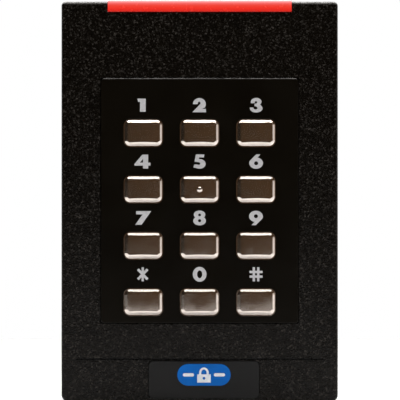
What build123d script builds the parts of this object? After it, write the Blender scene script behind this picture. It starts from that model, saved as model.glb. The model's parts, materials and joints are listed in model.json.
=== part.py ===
from build123d import *

import os

# Wall-mounted keypad access reader: a textured housing with a light bar along its top edge, twelve metal
# keys in a smooth faceplate, the electronics behind them, and a mounting plate that the reader hooks onto.
#
# Frame, in millimetres: X to the right seen from the front, Y into the wall, Z up. The origin is on the wall
# face of the mounting plate, midway between its two wall-box screw holes. A "height" is a distance from the
# wall towards the front, so height h is the plane Y = -h.

os.makedirs("parts", exist_ok=True)

# ---------------------------------------------------------------- driving dimensions

WIDTH = 84.4
HEIGHT = 122.2
FACE = 26.6  # height of the housing's front face
DRAFT = 0.5  # degrees that each side leans in towards the front
TOP_CORNER = 1.6  # corner radii of the outline seen from the front
BOTTOM_CORNER = 2.6
FACE_EDGE = 0.8  # rounding between the front face and the sides

FRONT_WALL = 2.4
RECESS_WALL = 2.0  # side and top walls around the mounting plate
BOTTOM_WALL = 3.4
LEDGE = 1.2  # step that the rear cover sits on

KEY_PITCH = 17.1
KEY_WIDTH = 11.3
KEY_HEIGHT = 7.75
KEY_CORNER = 1.7
KEY_BEVEL_ACROSS = 0.95  # the sloping border round the top of a key
KEY_BEVEL_HIGH = 0.8
KEY_CROWN_R = 90.0  # gentle dome of a key's top
KEY_SOFTENING = 1.0  # rounding between the dome and the sloping border
KEY_PIP_R = 0.95  # on the middle key
KEY_PIP_HIGH = 0.6
KEYPAD_Z = -4.75  # middle of the twelve keys
KEY_NAMES = ("1", "2", "3", "4", "5", "6", "7", "8", "9", "star", "0", "hash")
KEY_COLUMNS = 3

FACEPLATE_WIDTH = 60.0
FACEPLATE_HEIGHT = 74.4
FACEPLATE_Z = 0.4
FACEPLATE_RISE = 0.4  # how far the faceplate stands proud of the housing

LIGHT_BAR_WIDTH = 55.8
LIGHT_BAR_HEIGHT = 3.3  # on the front, below the housing's top
LIGHT_BAR_RISE = 0.5  # above the housing's top
LIGHT_BAR_GAP = 0.1  # all round the bar in its slot
LENS_PROUD = 0.15  # how far the bar stands proud of the front face
LENS_ROUND = 1.3  # its front top edge
LENS_DEPTH = 2.0  # thickness of its top leg
LENS_LIP = 1.3  # a lip behind the front wall keeps the bar from being pulled out
SLOT_EDGE = 0.3  # bevel along the slot's lower edge

BADGE_X = 1.3
BADGE_Z = -53.95
BADGE_WIDTH = 33.6
BADGE_HEIGHT = 11.3
BADGE_CORNER = 1.4
BADGE_GAP = 0.04  # all round the badge in its pocket
BADGE_SILL = 0.2  # bevel along the pocket's lower edge
BADGE_DEPTH = 0.8
BADGE_THICKNESS = 0.7
EMBLEM_WIDTH = 16.2
EMBLEM_HEIGHT = 6.6
EMBLEM_LIFT = 1.5  # above the middle of the badge
GROOVE_Z = -47.7
GROOVE_LENGTH = 75.2
GROOVE_WIDTH = 0.6
GROOVE_DEPTH = 0.9

WALL_BOX_PITCH = 83.34  # single-gang wall box, vertical
ROUND_BOX_PITCH = 60.0  # round wall box, horizontal
WALL_SCREW_R = 2.1
WIRING_WIDTH = 44.0  # opening in the mounting plate
WIRING_HEIGHT = 60.0
WIRING_RIM = 1.5

# ---------------------------------------------------------------- heights above the wall

PLATE_FRONT = 2.4
PLATE_RIM = 3.2  # top of the stiffening rim round the wiring opening
REAR_RIM = 0.4  # the housing's rear edge stays this far off the wall
COVER_REAR = 6.2
COVER_FRONT = 8.0
COVER_SCREW_SEAT = 7.2
COVER_LEDGE = 8.6
MAIN_BOARD_REAR = 11.5
BOARD_THICKNESS = 1.6
MAIN_BOARD_FRONT = MAIN_BOARD_REAR + BOARD_THICKNESS
KEY_BOARD_REAR = 19.9
KEY_BOARD_FRONT = KEY_BOARD_REAR + BOARD_THICKNESS
MAT_SHEET_FRONT = KEY_BOARD_FRONT + 1.0
PILL_TOP = MAT_SHEET_FRONT + 0.6
LIGHT_SLOT_REAR = 17.4
LENS_TOP_REAR = LIGHT_SLOT_REAR + LIGHT_BAR_GAP
LENS_LIP_REAR = 22.5
WALL_INSIDE = FACE - FRONT_WALL
DOME_TOP = 24.5
FACEPLATE_FRONT = FACE + FACEPLATE_RISE
FACEPLATE_REAR = 25.5
ADHESIVE = 0.2
POCKET_FLOOR = FACEPLATE_REAR - ADHESIVE
KEY_CROWN = 28.1

# ---------------------------------------------------------------- places worked out from the above

RECESS_LOW = -HEIGHT / 2 + BOTTOM_WALL
RECESS_HIGH = HEIGHT / 2 - RECESS_WALL
RECESS_WIDTH = WIDTH - 2 * RECESS_WALL
RECESS_HEIGHT = RECESS_HIGH - RECESS_LOW
MID_Z = (RECESS_LOW + RECESS_HIGH) / 2
CAVITY_WIDTH = RECESS_WIDTH - 2 * LEDGE
CAVITY_HEIGHT = RECESS_HEIGHT - 2 * LEDGE

LENS_TOP = HEIGHT / 2 + LIGHT_BAR_RISE
LIGHT_SLOT_LOW = HEIGHT / 2 - LIGHT_BAR_HEIGHT - LIGHT_BAR_GAP
LENS_LOW = LIGHT_SLOT_LOW + LIGHT_BAR_GAP
LENS_FRONT = FACE + LENS_PROUD

KEY_PLACES = [
    ((i % KEY_COLUMNS - 1) * KEY_PITCH, KEYPAD_Z + (1.5 - i // KEY_COLUMNS) * KEY_PITCH)
    for i in range(len(KEY_NAMES))
]
KEY_GAP = 0.35  # between a key and its hole in the faceplate
FLANGE_LIP = 0.6  # how far the key's flange reaches behind the faceplate
FLANGE_WIDTH = KEY_WIDTH + 2 * FLANGE_LIP
FLANGE_HEIGHT = KEY_HEIGHT + 2 * FLANGE_LIP

WINDOW_WIDTH = 2 * KEY_PITCH + FLANGE_WIDTH + 2.2
WINDOW_HEIGHT = 3 * KEY_PITCH + FLANGE_HEIGHT + 0.4
MAT_WIDTH = WINDOW_WIDTH + 6.0
MAT_HEIGHT = WINDOW_HEIGHT + 6.0
MAT_CORNER = 2.0
MAT_RIB = 2.0  # width of the sealing rib round the mat
DOME_BASE_R = 4.4
DOME_NECK_R = 3.0
DOME_PAD_R = 2.8
DOME_CLIMB = 0.9  # height of the dome's sloping web
DOME_HOLLOW_R = 4.0
PILL_R = 1.5
PAD_R = 2.0  # gold contact under each dome
KEY_BOARD_WIDTH = 62.0
KEY_BOARD_HEIGHT = MAT_HEIGHT + 8.6

PIVOT_HEIGHT = 4.6  # the hook bar that the reader hangs from and tilts about
PIVOT_Z = 55.0
HOOK_X = 20.0
BAR_R = 1.4
LUG_R = 2.8
LUG_PLAY = 0.08
LUG_WIDTH = 8.0
HOOK_WIDTH = 6.0
HOOK_THICKNESS = 1.8
BAR_LENGTH = 10.0

LOCK_HEIGHT = 3.2  # axis of the lock screw in the bottom edge
LOCK_SCREW_R = 1.5
LOCK_HEAD_R = 2.9
LOCK_INSERT_R = 2.1
LOCK_INSERT_LENGTH = 5.0
LOCK_POCKET_R = 3.3
LOCK_POCKET_DEPTH = 1.9
LOCK_SLOT_R = 1.75
HEAD_PLAY = 0.12  # the head stays a hair below its seat, so that the reader can swing

COVER_SCREWS = [(x, z) for x in (-36.2, 36.2) for z in (MID_Z - 54.4, MID_Z + 54.4)]
COVER_POST_R = 2.9
MAIN_BOARD_POST_R = 2.6
KEY_BOARD_POST_R = 2.0
COVER_THREAD_R = 1.1
COVER_HEAD_R = 2.2
BOARD_THREAD_R = 1.0
KEY_BOARD_THREAD_R = 0.9
THREAD_PLAY = 0.03
LED_POST_R = 1.4
LED_PIN_R = 0.8
MAIN_BOARD_SCREWS = [(x, z) for x in (-29.0, 29.0) for z in (MID_Z - 45.8, MID_Z + 45.8)]
KEY_BOARD_SCREWS = [
    (x, KEYPAD_Z + side * (MAT_HEIGHT / 2 + 2.2)) for x in (-28.5, 28.5) for side in (-1, 1)
]
LED_BOARD_Z = 55.6
LED_BOARD_WIDTH = 65.0
LED_BOARD_HEIGHT = 4.2
LED_BOARD_REAR = 15.9
LED_BOARD_FRONT = 16.9
LED_PACKAGE = 0.9
LED_TOP = LED_BOARD_FRONT + 1.3
GUIDE_Z = 56.8
GUIDE_WIDTH = 55.0
GUIDE_HEIGHT = 3.6
LED_PINS = [(-30.5, LED_BOARD_Z), (30.5, LED_BOARD_Z)]
LED_PLACES = [(-22.5 + 9.0 * i, LED_BOARD_Z + 0.8) for i in range(6)]

TERMINAL_X = 16.5
TERMINAL_REAR = 3.0
TERMINAL_WIDTH = 8.0
TERMINAL_PITCH = 3.5
TERMINAL_WAYS = 7
TERMINAL_LENGTH = TERMINAL_PITCH * TERMINAL_WAYS + 1.0
TAMPER_PLACE = (11.0, -36.0)
HEADER_Z = KEYPAD_Z + MAT_HEIGHT / 2 + 2.4
HEADER_WAYS = 10
HEADER_PITCH = 2.0


def level(height):
    """The plane parallel to the wall at this height, facing the front: its x is X and its y is Z."""
    return Plane.XZ.offset(height)


def across(x):
    """The plane square to the X axis at x: its x is Y and its y is Z."""
    return Plane.YZ.offset(x)


def save(builder, name):
    """Labels a finished piece and writes it to its own STEP file."""
    builder.part.label = name
    export_step(builder.part, f"parts/{name}.step")


# ---------------------------------------------------------------- housing

with BuildPart() as housing:
    with BuildSketch(level(REAR_RIM)) as outline:
        Rectangle(WIDTH, HEIGHT)
        fillet(outline.vertices().group_by(Axis.Y)[-1], radius=TOP_CORNER)
        fillet(outline.vertices().group_by(Axis.Y)[0], radius=BOTTOM_CORNER)
    extrude(amount=FACE - REAR_RIM, taper=DRAFT)
    fillet(housing.faces().sort_by(Axis.Y)[0].edges(), radius=FACE_EDGE)

    # recess around the mounting plate, then the electronics space one ledge further in
    with BuildSketch(level(REAR_RIM)):
        with Locations((0, MID_Z)):
            RectangleRounded(RECESS_WIDTH, RECESS_HEIGHT, 1.2)
    extrude(amount=COVER_LEDGE - REAR_RIM, mode=Mode.SUBTRACT)
    with BuildSketch(level(COVER_LEDGE)):
        with Locations((0, MID_Z)):
            RectangleRounded(CAVITY_WIDTH, CAVITY_HEIGHT, 1.0)
    extrude(amount=WALL_INSIDE - COVER_LEDGE, mode=Mode.SUBTRACT)

    # pocket for the faceplate and the window behind it for the keys
    with BuildSketch(level(POCKET_FLOOR)):
        with Locations((0, FACEPLATE_Z)):
            RectangleRounded(FACEPLATE_WIDTH + 0.4, FACEPLATE_HEIGHT + 0.4, 0.6)
    extrude(amount=FACE - POCKET_FLOOR, mode=Mode.SUBTRACT)
    with BuildSketch(level(WALL_INSIDE)):
        with Locations((0, KEYPAD_Z)):
            RectangleRounded(WINDOW_WIDTH, WINDOW_HEIGHT, 2.0)
    extrude(amount=POCKET_FLOOR - WALL_INSIDE, mode=Mode.SUBTRACT)

    # slot for the light bar, through the top of the front wall and the front of the top wall
    with BuildSketch(across(0)):
        with Locations((-FACE, LIGHT_SLOT_LOW)):
            Rectangle(FACE - LIGHT_SLOT_REAR, HEIGHT, align=(Align.MIN, Align.MIN))
    extrude(amount=LIGHT_BAR_WIDTH / 2 + LIGHT_BAR_GAP, both=True, mode=Mode.SUBTRACT)
    slot_edges = housing.edges().filter_by(Axis.X).filter_by_position(Axis.Y, -FACE - 0.01, -FACE + 0.01)
    chamfer(slot_edges.sort_by(lambda e: abs(e.center().Z - LIGHT_SLOT_LOW))[0], length=SLOT_EDGE)

    # decorative groove and the badge pocket below it
    with BuildSketch(level(FACE - GROOVE_DEPTH)):
        with Locations((0, GROOVE_Z)):
            SlotOverall(GROOVE_LENGTH, GROOVE_WIDTH)
    extrude(amount=GROOVE_DEPTH, mode=Mode.SUBTRACT)
    with BuildSketch(level(FACE - BADGE_DEPTH)):
        with Locations((BADGE_X, BADGE_Z)):
            RectangleRounded(BADGE_WIDTH + 2 * BADGE_GAP, BADGE_HEIGHT + 2 * BADGE_GAP, BADGE_CORNER)
    extrude(amount=BADGE_DEPTH, mode=Mode.SUBTRACT)
    front_edges = housing.edges().filter_by(Axis.X).filter_by_position(Axis.Y, -FACE - 0.01, -FACE + 0.01)
    badge_sill = BADGE_Z - BADGE_HEIGHT / 2 - BADGE_GAP
    chamfer(front_edges.sort_by(lambda e: abs(e.center().Z - badge_sill))[0], length=BADGE_SILL)

    # posts for the rear cover, the two boards and the light board
    with BuildSketch(level(COVER_FRONT)):
        with Locations(COVER_SCREWS):
            Circle(COVER_POST_R)
    extrude(amount=WALL_INSIDE - COVER_FRONT)
    with BuildSketch(level(MAIN_BOARD_FRONT)):
        with Locations(MAIN_BOARD_SCREWS):
            Circle(MAIN_BOARD_POST_R)
    extrude(amount=WALL_INSIDE - MAIN_BOARD_FRONT)
    with BuildSketch(level(KEY_BOARD_FRONT)):
        with Locations(KEY_BOARD_SCREWS):
            Circle(KEY_BOARD_POST_R)
    extrude(amount=WALL_INSIDE - KEY_BOARD_FRONT)
    with BuildSketch(level(LED_BOARD_FRONT)):
        with Locations(LED_PINS):
            Circle(LED_POST_R)
    extrude(amount=WALL_INSIDE - LED_BOARD_FRONT)
    with BuildSketch(level(LED_BOARD_REAR - 0.6)):
        with Locations(LED_PINS):
            Circle(LED_PIN_R)
    extrude(amount=LED_BOARD_FRONT - LED_BOARD_REAR + 0.6)

    # screw holes up the posts
    post_holes = (
        (COVER_SCREWS, COVER_FRONT, COVER_THREAD_R, 8.6),
        (MAIN_BOARD_SCREWS, MAIN_BOARD_FRONT, BOARD_THREAD_R, 7.0),
        (KEY_BOARD_SCREWS, KEY_BOARD_FRONT, KEY_BOARD_THREAD_R, 2.6),
    )
    for places, start, radius, depth in post_holes:
        with BuildSketch(level(start)):
            with Locations(places):
                Circle(radius)
        extrude(amount=depth, mode=Mode.SUBTRACT)

    # lock screw: a pocket for its head and a slot for its shank, both open to the rear so that the
    # reader can swing off the plate once the screw is slackened
    with BuildSketch(Plane.XY.offset(-HEIGHT / 2)):
        with Locations((0, -LOCK_HEIGHT)):
            Circle(LOCK_POCKET_R)
            Rectangle(2 * LOCK_POCKET_R, LOCK_HEIGHT, align=(Align.CENTER, Align.MIN))
    extrude(amount=LOCK_POCKET_DEPTH, mode=Mode.SUBTRACT)
    with BuildSketch(Plane.XY.offset(-HEIGHT / 2)):
        with Locations((0, -LOCK_HEIGHT)):
            Circle(LOCK_SLOT_R)
            Rectangle(2 * LOCK_SLOT_R, LOCK_HEIGHT, align=(Align.CENTER, Align.MIN))
    extrude(amount=BOTTOM_WALL, mode=Mode.SUBTRACT)

    # bevel along the top of the rear rim, which keeps it off the wall while the reader is tilted
    with BuildSketch(across(0)):
        with BuildLine():
            Polyline((0.1, 56.4), (-REAR_RIM, 56.4), (-2.3, 61.2), (0.1, 61.2), close=True)
        make_face()
    extrude(amount=WIDTH / 2 + 1, both=True, mode=Mode.SUBTRACT)
save(housing, "housing")

# ---------------------------------------------------------------- light bar

with BuildPart() as light_bar_lens:
    with BuildSketch(across(0)) as lens_profile:
        with BuildLine():
            Polyline(
                (-LENS_FRONT, LENS_LOW),
                (-WALL_INSIDE + LIGHT_BAR_GAP, LENS_LOW),
                (-WALL_INSIDE + LIGHT_BAR_GAP, LENS_LOW - LENS_LIP),
                (-LENS_LIP_REAR, LENS_LOW - LENS_LIP),
                (-LENS_LIP_REAR, LENS_TOP - LENS_DEPTH - LIGHT_BAR_RISE),
                (-LENS_TOP_REAR, LENS_TOP - LENS_DEPTH - LIGHT_BAR_RISE),
                (-LENS_TOP_REAR, LENS_TOP),
                (-LENS_FRONT, LENS_TOP),
                close=True,
            )
        make_face()
        fillet(lens_profile.vertices().group_by(Axis.Y)[-1].sort_by(Axis.X)[0], radius=LENS_ROUND)
        fillet(lens_profile.vertices().sort_by(Axis.X)[:2].sort_by(Axis.Y)[0], radius=LIGHT_BAR_GAP)
    extrude(amount=LIGHT_BAR_WIDTH / 2, both=True)
save(light_bar_lens, "light_bar_lens")

# clear guide that spreads the light of six diodes into the lens
with BuildPart() as light_guide:
    with BuildSketch(level(LED_TOP)):
        with Locations((0, GUIDE_Z)):
            Rectangle(GUIDE_WIDTH, GUIDE_HEIGHT)
    extrude(amount=LENS_LIP_REAR - LED_TOP, taper=2.0)
save(light_guide, "light_guide")

with BuildPart() as led_board:
    with BuildSketch(level(LED_BOARD_REAR)):
        with Locations((0, LED_BOARD_Z)):
            Rectangle(LED_BOARD_WIDTH, LED_BOARD_HEIGHT)
        with Locations(LED_PINS):
            Circle(LED_PIN_R + 0.1, mode=Mode.SUBTRACT)
    extrude(amount=LED_BOARD_FRONT - LED_BOARD_REAR)
save(led_board, "led_board")

with BuildPart() as status_leds:
    with BuildSketch(level(LED_BOARD_FRONT)):
        with Locations(LED_PLACES):
            RectangleRounded(3.2, 2.4, 0.4)
    extrude(amount=LED_PACKAGE)
    with BuildSketch(level(LED_BOARD_FRONT + LED_PACKAGE)):
        with Locations(LED_PLACES):
            Circle(1.0)
    extrude(amount=LED_TOP - LED_BOARD_FRONT - LED_PACKAGE - 0.1)
save(status_leds, "status_leds")

# ---------------------------------------------------------------- faceplate and badge

with BuildPart() as faceplate:
    with BuildSketch(level(FACEPLATE_REAR)):
        with Locations((0, FACEPLATE_Z)):
            RectangleRounded(FACEPLATE_WIDTH, FACEPLATE_HEIGHT, 1.2)
    extrude(amount=FACEPLATE_FRONT - FACEPLATE_REAR)
    fillet(faceplate.faces().sort_by(Axis.Y)[0].edges(), radius=0.35)
    with BuildSketch(level(FACEPLATE_REAR)):
        with Locations(KEY_PLACES):
            RectangleRounded(KEY_WIDTH + 2 * KEY_GAP, KEY_HEIGHT + 2 * KEY_GAP, KEY_CORNER + KEY_GAP)
    extrude(amount=FACEPLATE_FRONT - FACEPLATE_REAR, mode=Mode.SUBTRACT)
    plate_front = faceplate.faces().sort_by(Axis.Y)[0]
    chamfer([e for wire in plate_front.inner_wires() for e in wire.edges()], length=0.15)
save(faceplate, "faceplate")

with BuildPart() as faceplate_adhesive:
    with BuildSketch(level(POCKET_FLOOR)):
        with Locations((0, FACEPLATE_Z)):
            RectangleRounded(FACEPLATE_WIDTH - 0.6, FACEPLATE_HEIGHT - 0.6, 1.0)
        with Locations((0, KEYPAD_Z)):
            RectangleRounded(WINDOW_WIDTH + 0.6, WINDOW_HEIGHT + 0.6, 2.0, mode=Mode.SUBTRACT)
    extrude(amount=ADHESIVE)
save(faceplate_adhesive, "faceplate_adhesive")

with BuildPart() as badge_inlay:
    with BuildSketch(level(FACE - BADGE_DEPTH)):
        with Locations((BADGE_X, BADGE_Z)):
            RectangleRounded(BADGE_WIDTH, BADGE_HEIGHT, BADGE_CORNER)
    extrude(amount=BADGE_THICKNESS)
    fillet(badge_inlay.faces().sort_by(Axis.Y)[0].edges(), radius=0.15)
save(badge_inlay, "badge_inlay")

# plain lozenge on the badge
with BuildPart() as badge_emblem:
    with BuildSketch(level(FACE - BADGE_DEPTH + BADGE_THICKNESS)):
        with Locations((BADGE_X, BADGE_Z + EMBLEM_LIFT)):
            SlotOverall(EMBLEM_WIDTH, EMBLEM_HEIGHT)
    extrude(amount=0.25)
    fillet(badge_emblem.faces().sort_by(Axis.Y)[0].edges(), radius=0.1)
save(badge_emblem, "badge_emblem")

# ---------------------------------------------------------------- keys


def make_key(place, has_pip):
    """A metal key cap: a flange behind the faceplate, a shank in its hole and a bevelled, crowned top."""
    with BuildPart() as key:
        with BuildSketch(level(DOME_TOP)):
            with Locations(place):
                RectangleRounded(FLANGE_WIDTH, FLANGE_HEIGHT, 2.0)
        extrude(amount=FACEPLATE_REAR - DOME_TOP)
        with BuildSketch(level(FACEPLATE_REAR)):
            with Locations(place):
                RectangleRounded(KEY_WIDTH, KEY_HEIGHT, KEY_CORNER)
        extrude(amount=KEY_CROWN - FACEPLATE_REAR)
        top = key.faces().sort_by(Axis.Y)[0]
        chamfer(top.edges(), length=KEY_BEVEL_ACROSS, length2=KEY_BEVEL_HIGH, reference=top)
        with Locations(level(KEY_CROWN - KEY_CROWN_R) * Location((*place, 0))):
            Sphere(KEY_CROWN_R, rotation=(90, 0, 0), mode=Mode.INTERSECT)
        fillet(key.faces().sort_by(Axis.Y)[0].edges(), radius=KEY_SOFTENING)
        if has_pip:
            with Locations(level(KEY_CROWN + KEY_PIP_HIGH - KEY_PIP_R) * Location((*place, 0))):
                Sphere(KEY_PIP_R)
    return key


def make_pill(place):
    """The conductive pill under a key's dome, which closes the contact on the keypad board."""
    with BuildPart() as pill:
        with BuildSketch(level(MAT_SHEET_FRONT)):
            with Locations(place):
                Circle(PILL_R)
        extrude(amount=PILL_TOP - MAT_SHEET_FRONT)
    return pill


for key_name, key_place in zip(KEY_NAMES, KEY_PLACES):
    save(make_key(key_place, key_name == "5"), f"key_{key_name}")
    save(make_pill(key_place), f"contact_pill_{key_name}")

# ---------------------------------------------------------------- keypad mat and keypad board

ON_BASE = (Align.CENTER, Align.CENTER, Align.MIN)
HOLLOW_STEP = 0.8  # height of the straight part of the hollow under a dome
HOLLOW_CLIMB = PILL_TOP - KEY_BOARD_FRONT - HOLLOW_STEP
with BuildPart() as keypad_mat:
    with BuildSketch(level(KEY_BOARD_FRONT)):
        with Locations((0, KEYPAD_Z)):
            RectangleRounded(MAT_WIDTH, MAT_HEIGHT, MAT_CORNER)
    extrude(amount=MAT_SHEET_FRONT - KEY_BOARD_FRONT)
    # sealing rib, pressed against the inside of the front wall all round the window
    with BuildSketch(level(MAT_SHEET_FRONT)):
        with Locations((0, KEYPAD_Z)):
            RectangleRounded(MAT_WIDTH, MAT_HEIGHT, MAT_CORNER)
            RectangleRounded(MAT_WIDTH - 2 * MAT_RIB, MAT_HEIGHT - 2 * MAT_RIB, 1.2, mode=Mode.SUBTRACT)
    extrude(amount=WALL_INSIDE - MAT_SHEET_FRONT)
    # one dome under each key: a thin sloping web that buckles, and the pad that the key rests on
    for x, z in KEY_PLACES:
        with Locations(level(MAT_SHEET_FRONT) * Location((x, z, 0))):
            Cone(DOME_BASE_R, DOME_NECK_R, DOME_CLIMB, align=ON_BASE)
            Cylinder(DOME_PAD_R, DOME_TOP - MAT_SHEET_FRONT, align=ON_BASE)
        with Locations(level(KEY_BOARD_FRONT) * Location((x, z, 0))):
            Cylinder(DOME_HOLLOW_R, HOLLOW_STEP, align=ON_BASE, mode=Mode.SUBTRACT)
        with Locations(level(KEY_BOARD_FRONT + HOLLOW_STEP) * Location((x, z, 0))):
            Cone(DOME_HOLLOW_R, 2.4, HOLLOW_CLIMB, align=ON_BASE, mode=Mode.SUBTRACT)
save(keypad_mat, "keypad_mat")

with BuildPart() as keypad_board:
    with BuildSketch(level(KEY_BOARD_REAR)):
        with Locations((0, KEYPAD_Z)):
            RectangleRounded(KEY_BOARD_WIDTH, KEY_BOARD_HEIGHT, 1.0)
        with Locations(KEY_BOARD_SCREWS):
            Circle(1.1, mode=Mode.SUBTRACT)
    extrude(amount=BOARD_THICKNESS)
save(keypad_board, "keypad_board")

# each contact is two half discs with a gap that the pill bridges
with BuildPart() as contact_pads:
    with BuildSketch(level(KEY_BOARD_FRONT)):
        with Locations(KEY_PLACES):
            Circle(PAD_R)
            Rectangle(2 * PAD_R + 0.4, 0.4, mode=Mode.SUBTRACT)
    extrude(amount=0.05)
save(contact_pads, "contact_pads")


def make_screws(places, seat, head_r, head_high, shank_r, shank_long):
    """Small pan-head screws driven from the rear, their heads behind the seat height, with a cross slot."""
    with BuildPart() as screws:
        with BuildSketch(level(seat - head_high)):
            with Locations(places):
                Circle(head_r)
        extrude(amount=head_high)
        chamfer(screws.faces().group_by(Axis.Y)[-1].edges(), length=0.25)
        with BuildSketch(level(seat)):
            with Locations(places):
                Circle(shank_r)
        extrude(amount=shank_long)
        with BuildSketch(level(seat - head_high)):
            with Locations(places):
                Rectangle(head_r * 1.1, 0.4)
                Rectangle(0.4, head_r * 1.1)
        extrude(amount=head_high * 0.55, mode=Mode.SUBTRACT)
    return screws


SCREWS = (
    ("keypad_board_screws", KEY_BOARD_SCREWS, KEY_BOARD_REAR, 1.8, 1.3, KEY_BOARD_THREAD_R, 4.0),
    ("main_board_screws", MAIN_BOARD_SCREWS, MAIN_BOARD_REAR, 2.2, 1.5, BOARD_THREAD_R, 8.0),
    ("rear_cover_screws", COVER_SCREWS, COVER_SCREW_SEAT, COVER_HEAD_R, 1.0, COVER_THREAD_R, 9.0),
)
for screw_name, places, seat, head_r, head_high, thread_r, shank_long in SCREWS:
    save(make_screws(places, seat, head_r, head_high, thread_r - THREAD_PLAY, shank_long), screw_name)

# ---------------------------------------------------------------- antenna

COIL_WIDTH = 72.0
COIL_HEIGHT = 105.0
COIL_BAND = 2.8
COIL_THICKNESS = 3.0
COIL_CORNER = 8.0
with BuildPart() as antenna_coil:
    with BuildSketch(level(WALL_INSIDE - COIL_THICKNESS)):
        RectangleRounded(COIL_WIDTH, COIL_HEIGHT, COIL_CORNER)
        RectangleRounded(
            COIL_WIDTH - 2 * COIL_BAND,
            COIL_HEIGHT - 2 * COIL_BAND,
            COIL_CORNER - COIL_BAND,
            mode=Mode.SUBTRACT,
        )
    extrude(amount=COIL_THICKNESS)
    fillet(antenna_coil.edges().filter_by(GeomType.LINE).filter_by(Axis.Y, reverse=True), radius=0.6)
save(antenna_coil, "antenna_coil")

with BuildPart() as ferrite_sheet:
    with BuildSketch(level(KEY_BOARD_REAR - 0.5)):
        with Locations((0, KEYPAD_Z)):
            RectangleRounded(MAT_WIDTH - 4.0, MAT_HEIGHT - 1.0, 1.0)
    extrude(amount=0.5)
save(ferrite_sheet, "ferrite_sheet")

# ---------------------------------------------------------------- main board and what is on it

MAIN_BOARD_WIDTH = 70.0
MAIN_BOARD_HEIGHT = 100.6
with BuildPart() as main_board:
    with BuildSketch(level(MAIN_BOARD_REAR)):
        with Locations((0, MID_Z)):
            RectangleRounded(MAIN_BOARD_WIDTH, MAIN_BOARD_HEIGHT, 1.5)
        with Locations(MAIN_BOARD_SCREWS):
            Circle(1.2, mode=Mode.SUBTRACT)
    extrude(amount=BOARD_THICKNESS)
save(main_board, "main_board")


def make_chip(place, side, high, legs):
    """A square surface-mounted chip on the front of the main board with legs along all four sides."""
    with BuildPart() as chip:
        with BuildSketch(level(MAIN_BOARD_FRONT + 0.1)):
            with Locations(place):
                Rectangle(side, side)
        extrude(amount=high)
        chamfer(chip.faces().sort_by(Axis.Y)[0].edges(), length=0.15)
        with BuildSketch(level(MAIN_BOARD_FRONT)):
            with Locations(place):
                with GridLocations(side / (legs + 1), 0, legs, 1):
                    Rectangle(0.4, side + 2.0)
                with GridLocations(0, side / (legs + 1), 1, legs):
                    Rectangle(side + 2.0, 0.4)
        extrude(amount=0.3)
    return chip


save(make_chip((-14.0, -8.0), 12.0, 1.4, 12), "processor_chip")
save(make_chip((13.0, 16.0), 7.0, 1.0, 8), "radio_chip")

with BuildPart() as crystal_can:
    with BuildSketch(level(MAIN_BOARD_FRONT)):
        with Locations((2.0, -8.0)):
            SlotOverall(11.0, 4.6)
    extrude(amount=0.4)
    with BuildSketch(level(MAIN_BOARD_FRONT + 0.4)):
        with Locations((2.0, -8.0)):
            SlotOverall(10.2, 3.8)
    extrude(amount=3.2)
    fillet(crystal_can.faces().sort_by(Axis.Y)[0].edges(), radius=0.5)
save(crystal_can, "crystal_can")

with BuildPart() as capacitors:
    with BuildSketch(level(MAIN_BOARD_FRONT)):
        with Locations((20.0, -14.0), (20.0, -24.0), (-22.0, 26.0)):
            Circle(3.15)
    extrude(amount=5.2)
    fillet(capacitors.faces().group_by(Axis.Y)[0].edges(), radius=0.5)
save(capacitors, "capacitors")

with BuildPart() as power_inductor:
    with BuildSketch(level(MAIN_BOARD_FRONT)):
        with Locations((-20.0, -28.0)):
            RectangleRounded(8.0, 8.0, 1.6)
    extrude(amount=3.8)
    chamfer(power_inductor.faces().sort_by(Axis.Y)[0].edges(), length=0.4)
save(power_inductor, "power_inductor")

with BuildPart() as sounder:
    with BuildSketch(level(MAIN_BOARD_FRONT)):
        with Locations((0, -33.0)):
            Circle(6.0)
    extrude(amount=4.8)
    fillet(sounder.faces().sort_by(Axis.Y)[0].edges(), radius=0.6)
    with BuildSketch(level(MAIN_BOARD_FRONT + 2.4)):
        with Locations((0, -33.0)):
            Circle(1.0)
    extrude(amount=2.4, mode=Mode.SUBTRACT)
save(sounder, "sounder")

# ten-way header on the keypad board, plugged into a socket on the main board
SOCKET_FRONT = 16.6
HEADER_PINS = [((i - (HEADER_WAYS - 1) / 2) * HEADER_PITCH, HEADER_Z) for i in range(HEADER_WAYS)]
with BuildPart() as board_header:
    with BuildSketch(level(SOCKET_FRONT)):
        with Locations((0, HEADER_Z)):
            Rectangle(HEADER_WAYS * HEADER_PITCH, 2.2)
    extrude(amount=KEY_BOARD_REAR - SOCKET_FRONT)
    with BuildSketch(level(MAIN_BOARD_FRONT + 0.7)):
        with Locations(HEADER_PINS):
            Rectangle(0.5, 0.5)
    extrude(amount=SOCKET_FRONT - MAIN_BOARD_FRONT - 0.7)
save(board_header, "board_header")

with BuildPart() as board_socket:
    with BuildSketch(level(MAIN_BOARD_FRONT)):
        with Locations((0, HEADER_Z)):
            Rectangle(HEADER_WAYS * HEADER_PITCH + 0.6, 2.6)
    extrude(amount=SOCKET_FRONT - MAIN_BOARD_FRONT)
    with BuildSketch(level(MAIN_BOARD_FRONT + 0.5)):
        with Locations(HEADER_PINS):
            Rectangle(0.8, 0.8)
    extrude(amount=SOCKET_FRONT - MAIN_BOARD_FRONT - 0.5, mode=Mode.SUBTRACT)
save(board_socket, "board_socket")

# ---------------------------------------------------------------- wire terminals and tamper sensor

SCREW_WELL = 2.4  # depth of the well that holds a terminal screw


def terminal_screw_places(side):
    """The middles of one strip's screws; side is -1 for the left strip and 1 for the right."""
    return [
        (side * (TERMINAL_X + 1.4), MID_Z + (i - (TERMINAL_WAYS - 1) / 2) * TERMINAL_PITCH)
        for i in range(TERMINAL_WAYS)
    ]


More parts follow.
